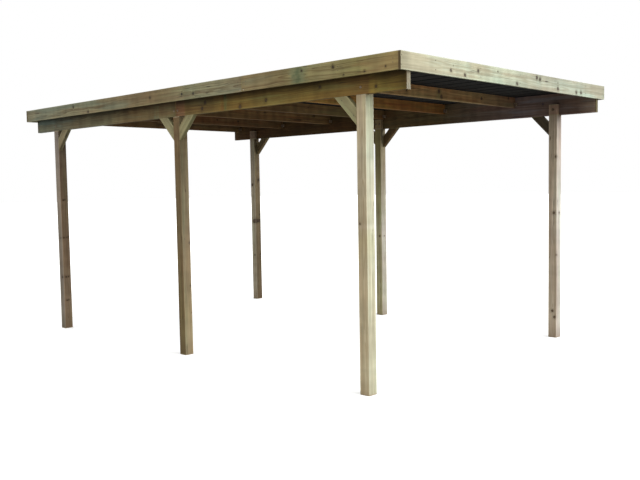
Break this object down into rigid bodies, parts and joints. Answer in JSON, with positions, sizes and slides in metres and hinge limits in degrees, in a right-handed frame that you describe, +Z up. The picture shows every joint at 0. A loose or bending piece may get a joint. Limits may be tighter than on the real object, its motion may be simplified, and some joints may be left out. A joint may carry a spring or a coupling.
{
  "type": "carport",
  "caption": "Open timber carport with square posts, knee braces, long side beams, cross rafters, a profiled sheet roof and fascia boards all round",
  "frame": {"origin": "middle of the ground plan, on the ground", "axes": "+Z up, +Y from the front end to the rear end along the side beams, +X from the left row of posts to the right row"},
  "size_m": [3.349, 5.719, 2.607],
  "materials": {
    "post_timber": "sawn, pressure treated",
    "beam_timber": "sawn, pressure treated",
    "brace_timber": "sawn, pressure treated",
    "rafter_timber": "sawn, pressure treated",
    "batten_timber": "sawn, pressure treated",
    "fascia_timber": "sawn, pressure treated",
    "roof_sheet": "satin coated",
    "zinc_bolts": "zinc plated"
  },
  "bodies": {
    "root": {"post_front_left": "post_timber", "post_middle_left": "post_timber", "post_rear_left": "post_timber", "post_front_right": "post_timber", "post_middle_right": "post_timber", "post_rear_right": "post_timber", "beam_left_front": "beam_timber", "beam_left_rear": "beam_timber", "beam_right_front": "beam_timber", "beam_right_rear": "beam_timber", "brace_front_left": "brace_timber", "brace_middle_left_fore": "brace_timber", "brace_middle_left_aft": "brace_timber", "brace_rear_left": "brace_timber", "brace_front_right": "brace_timber", "brace_middle_right_fore": "brace_timber", "brace_middle_right_aft": "brace_timber", "brace_rear_right": "brace_timber", "front_rail": "rafter_timber", "rafter_1": "rafter_timber", "rafter_2": "rafter_timber", "rafter_3": "rafter_timber", "rafter_4": "rafter_timber", "rafter_5": "rafter_timber", "rafter_6": "rafter_timber", "edge_batten_left": "batten_timber", "edge_batten_right": "batten_timber", "fascia_front": "fascia_timber", "fascia_rear": "fascia_timber", "fascia_left_front": "fascia_timber", "fascia_left_rear": "fascia_timber", "fascia_right_front": "fascia_timber", "fascia_right_rear": "fascia_timber", "roof_sheet_left": "roof_sheet", "roof_sheet_middle": "roof_sheet", "roof_sheet_right": "roof_sheet", "bolts_front_left": "zinc_bolts", "bolts_middle_left": "zinc_bolts", "bolts_rear_left": "zinc_bolts", "bolts_front_right": "zinc_bolts", "bolts_middle_right": "zinc_bolts", "bolts_rear_right": "zinc_bolts"}
  },
  "joints": []
}
